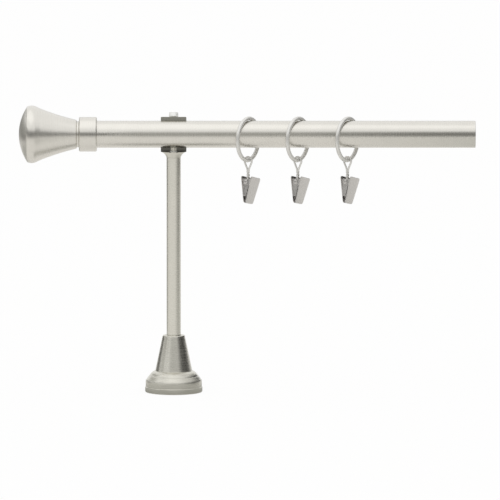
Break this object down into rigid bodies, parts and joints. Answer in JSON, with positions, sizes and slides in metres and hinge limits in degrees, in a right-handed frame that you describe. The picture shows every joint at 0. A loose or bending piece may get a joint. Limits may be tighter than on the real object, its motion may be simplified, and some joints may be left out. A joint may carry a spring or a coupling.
{
  "type": "curtain rod",
  "caption": "Straight curtain rod tube with a flared finial, a stemmed wall bracket with a round conical rosette, and sliding rings with sprung clips for holding a curtain.",
  "frame": {"origin": "centre of the wall plate's back face", "axes": "+Z out from the wall along the stem to the rod, +X along the rod away from the finial, rings hanging towards -Z"},
  "size_m": [0.3216, 0.0406, 0.2029],
  "materials": {
    "rod_nickel": "satin nickel plate",
    "finial_nickel": "satin nickel plate",
    "bracket_nickel": "satin nickel plate",
    "ring_nickel": "nickel plated wire",
    "clip_steel": "nickel plated sheet",
    "screw_steel": "bright zinc plate"
  },
  "bodies": {
    "bracket_and_rod": {"rod_tube": "rod_nickel", "finial_collar": "finial_nickel", "finial_cone": "finial_nickel", "finial_dome": "finial_nickel", "finial_stud": "screw_steel", "finial_set_screw": "screw_steel", "rod_holder": "bracket_nickel", "holder_set_screw": "screw_steel", "stem": "bracket_nickel", "holder_stud": "screw_steel", "plate_stud": "screw_steel", "wall_plate": "bracket_nickel", "rosette_cover": "bracket_nickel", "cover_set_screw": "screw_steel"},
    "ring_1": {"curtain_ring_1": "ring_nickel"},
    "link_1": {"clip_eye_1": "ring_nickel"},
    "clip_1": {"clip_rear_leaf_1": "clip_steel", "clip_pin_1": "clip_steel", "clip_spring_1": "clip_steel"},
    "jaw_1": {"clip_front_leaf_1": "clip_steel"},
    "ring_2": {"curtain_ring_2": "ring_nickel"},
    "link_2": {"clip_eye_2": "ring_nickel"},
    "clip_2": {"clip_rear_leaf_2": "clip_steel", "clip_pin_2": "clip_steel", "clip_spring_2": "clip_steel"},
    "jaw_2": {"clip_front_leaf_2": "clip_steel"},
    "ring_3": {"curtain_ring_3": "ring_nickel"},
    "link_3": {"clip_eye_3": "ring_nickel"},
    "clip_3": {"clip_rear_leaf_3": "clip_steel", "clip_pin_3": "clip_steel", "clip_spring_3": "clip_steel"},
    "jaw_3": {"clip_front_leaf_3": "clip_steel"}
  },
  "joints": [
    {"name": "ring_1_slide", "type": "slide", "parent": "bracket_and_rod", "child": "ring_1", "axis": [1, 0, 0], "range_m": [-0.033, 0.018]},
    {"name": "link_1_swing", "type": "hinge", "parent": "ring_1", "child": "link_1", "pos_m": [0.0525, 0, 0.1642], "axis": [0.5, 0.866, 0], "range_deg": [-60, 60]},
    {"name": "clip_1_swing", "type": "hinge", "parent": "link_1", "child": "clip_1", "pos_m": [0.05397, 0.00254, 0.14798], "axis": [0.4891, 0.8471, -0.2079], "range_deg": [-25, 25]},
    {"name": "jaw_1_open", "type": "hinge", "parent": "clip_1", "child": "jaw_1", "pos_m": [0.05397, 0.00254, 0.14798], "axis": [-0.4891, -0.8471, 0.2079], "range_deg": [0, 20], "stiffness_Nm_per_rad": 0.05, "springref_deg": -20.05, "deforming": ["clip_spring_1"]},
    {"name": "ring_2_slide", "type": "slide", "parent": "bracket_and_rod", "child": "ring_2", "axis": [1, 0, 0], "range_m": [-0.018, 0.018]},
    {"name": "link_2_swing", "type": "hinge", "parent": "ring_2", "child": "link_2", "pos_m": [0.0875, 0, 0.1642], "axis": [0.5, 0.866, 0], "range_deg": [-60, 60]},
    {"name": "clip_2_swing", "type": "hinge", "parent": "link_2", "child": "clip_2", "pos_m": [0.08897, 0.00254, 0.14798], "axis": [0.4891, 0.8471, -0.2079], "range_deg": [-25, 25]},
    {"name": "jaw_2_open", "type": "hinge", "parent": "clip_2", "child": "jaw_2", "pos_m": [0.08897, 0.00254, 0.14798], "axis": [-0.4891, -0.8471, 0.2079], "range_deg": [0, 20], "stiffness_Nm_per_rad": 0.05, "springref_deg": -20.05, "deforming": ["clip_spring_2"]},
    {"name": "ring_3_slide", "type": "slide", "parent": "bracket_and_rod", "child": "ring_3", "axis": [1, 0, 0], "range_m": [-0.018, 0.078]},
    {"name": "link_3_swing", "type": "hinge", "parent": "ring_3", "child": "link_3", "pos_m": [0.1225, 0, 0.1642], "axis": [0.5, 0.866, 0], "range_deg": [-60, 60]},
    {"name": "clip_3_swing", "type": "hinge", "parent": "link_3", "child": "clip_3", "pos_m": [0.12397, 0.00254, 0.14798], "axis": [0.4891, 0.8471, -0.2079], "range_deg": [-25, 25]},
    {"name": "jaw_3_open", "type": "hinge", "parent": "clip_3", "child": "jaw_3", "pos_m": [0.12397, 0.00254, 0.14798], "axis": [-0.4891, -0.8471, 0.2079], "range_deg": [0, 20], "stiffness_Nm_per_rad": 0.05, "springref_deg": -20.05, "deforming": ["clip_spring_3"]}
  ]
}
